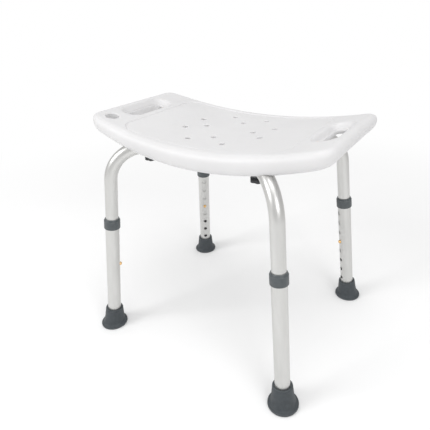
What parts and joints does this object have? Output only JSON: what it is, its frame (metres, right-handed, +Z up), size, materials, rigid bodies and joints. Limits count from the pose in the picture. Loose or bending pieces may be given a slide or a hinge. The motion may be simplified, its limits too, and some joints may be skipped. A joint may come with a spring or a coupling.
{
  "type": "shower stool",
  "caption": "Height-adjustable shower stool: curved white plastic seat with handholds and drain holes on crossed aluminium tube legs with push-button locks and rubber feet.",
  "frame": {"origin": "on the floor, under the middle of the seat", "axes": "+X along the seat's length, to the right seen from the front; +Y to the back; +Z up"},
  "size_m": [0.51, 0.4174, 0.4675],
  "materials": {
    "seat_plastic": "satin white polyethylene",
    "frame_aluminium": "satin anodised",
    "leg_aluminium": "satin anodised",
    "collar_plastic": "smooth grey nylon",
    "foot_rubber": "moulded grey rubber",
    "fitting_steel": "zinc plated",
    "spring_steel": "spring steel",
    "button_brass": "polished",
    "insert_brass": "machined",
    "knob_plastic": "moulded black",
    "trim_plastic": "moulded black"
  },
  "bodies": {
    "seat_and_frame": {"seat": "seat_plastic", "frame_tube_left_front_to_right_back": "frame_aluminium", "frame_tube_right_front_to_left_back": "frame_aluminium", "crossing_rivet": "fitting_steel", "crossing_spacer": "trim_plastic", "seat_insert_front_left": "insert_brass", "saddle_washer_front_left": "trim_plastic", "leaf_spring_front_left": "spring_steel", "seat_insert_front_right": "insert_brass", "saddle_washer_front_right": "trim_plastic", "leaf_spring_front_right": "spring_steel", "seat_insert_back_right": "insert_brass", "saddle_washer_back_right": "trim_plastic", "leaf_spring_back_right": "spring_steel", "seat_insert_back_left": "insert_brass", "saddle_washer_back_left": "trim_plastic", "leaf_spring_back_left": "spring_steel"},
    "leg_front_left": {"lower_leg_front_left": "leg_aluminium", "collar_front_left": "collar_plastic", "rubber_foot_front_left": "foot_rubber", "foot_disc_front_left": "fitting_steel"},
    "button_front_left": {"snap_button_front_left": "button_brass"},
    "knob_front_left": {"hand_knob_front_left": "knob_plastic", "seat_bolt_front_left": "fitting_steel"},
    "leg_front_right": {"lower_leg_front_right": "leg_aluminium", "collar_front_right": "collar_plastic", "rubber_foot_front_right": "foot_rubber", "foot_disc_front_right": "fitting_steel"},
    "button_front_right": {"snap_button_front_right": "button_brass"},
    "knob_front_right": {"hand_knob_front_right": "knob_plastic", "seat_bolt_front_right": "fitting_steel"},
    "leg_back_right": {"lower_leg_back_right": "leg_aluminium", "collar_back_right": "collar_plastic", "rubber_foot_back_right": "foot_rubber", "foot_disc_back_right": "fitting_steel"},
    "button_back_right": {"snap_button_back_right": "button_brass"},
    "knob_back_right": {"hand_knob_back_right": "knob_plastic", "seat_bolt_back_right": "fitting_steel"},
    "leg_back_left": {"lower_leg_back_left": "leg_aluminium", "collar_back_left": "collar_plastic", "rubber_foot_back_left": "foot_rubber", "foot_disc_back_left": "fitting_steel"},
    "button_back_left": {"snap_button_back_left": "button_brass"},
    "knob_back_left": {"hand_knob_back_left": "knob_plastic", "seat_bolt_back_left": "fitting_steel"}
  },
  "joints": [
    {"name": "leg_height_front_left", "type": "slide", "parent": "seat_and_frame", "child": "leg_front_left", "axis": [-0.0858, -0.0728, -0.9937], "range_m": [-0.075, 0.075]},
    {"name": "leg_height_front_right", "type": "slide", "parent": "seat_and_frame", "child": "leg_front_right", "axis": [0.0858, -0.0728, -0.9937], "range_m": [-0.075, 0.075]},
    {"name": "leg_height_back_right", "type": "slide", "parent": "seat_and_frame", "child": "leg_back_right", "axis": [0.0858, 0.0728, -0.9937], "range_m": [-0.075, 0.075]},
    {"name": "leg_height_back_left", "type": "slide", "parent": "seat_and_frame", "child": "leg_back_left", "axis": [-0.0858, 0.0728, -0.9937], "range_m": [-0.075, 0.075]},
    {"name": "button_press_front_left", "type": "slide", "parent": "seat_and_frame", "child": "button_front_left", "axis": [-0.6412, -0.7593, 0.111], "range_m": [0, 0.0052], "stiffness_N_per_m": 900, "springref_m": -0.002, "deforming": ["leaf_spring_front_left"]},
    {"name": "button_press_front_right", "type": "slide", "parent": "seat_and_frame", "child": "button_front_right", "axis": [0.6412, -0.7593, 0.111], "range_m": [0, 0.0052], "stiffness_N_per_m": 900, "springref_m": -0.002, "deforming": ["leaf_spring_front_right"]},
    {"name": "button_press_back_right", "type": "slide", "parent": "seat_and_frame", "child": "button_back_right", "axis": [0.6412, 0.7593, 0.111], "range_m": [0, 0.0052], "stiffness_N_per_m": 900, "springref_m": -0.002, "deforming": ["leaf_spring_back_right"]},
    {"name": "button_press_back_left", "type": "slide", "parent": "seat_and_frame", "child": "button_back_left", "axis": [-0.6412, 0.7593, 0.111], "range_m": [0, 0.0052], "stiffness_N_per_m": 900, "springref_m": -0.002, "deforming": ["leaf_spring_back_left"]},
    {"name": "knob_turn_front_left", "type": "hinge", "parent": "seat_and_frame", "child": "knob_front_left", "pos_m": [-0.11821, -0.10025, 0.39], "axis": [0, 0, -1], "continuous": true},
    {"name": "knob_turn_front_right", "type": "hinge", "parent": "seat_and_frame", "child": "knob_front_right", "pos_m": [0.11821, -0.10025, 0.39], "axis": [0, 0, -1], "continuous": true},
    {"name": "knob_turn_back_right", "type": "hinge", "parent": "seat_and_frame", "child": "knob_back_right", "pos_m": [0.11821, 0.10025, 0.39], "axis": [0, 0, -1], "continuous": true},
    {"name": "knob_turn_back_left", "type": "hinge", "parent": "seat_and_frame", "child": "knob_back_left", "pos_m": [-0.11821, 0.10025, 0.39], "axis": [0, 0, -1], "continuous": true}
  ]
}
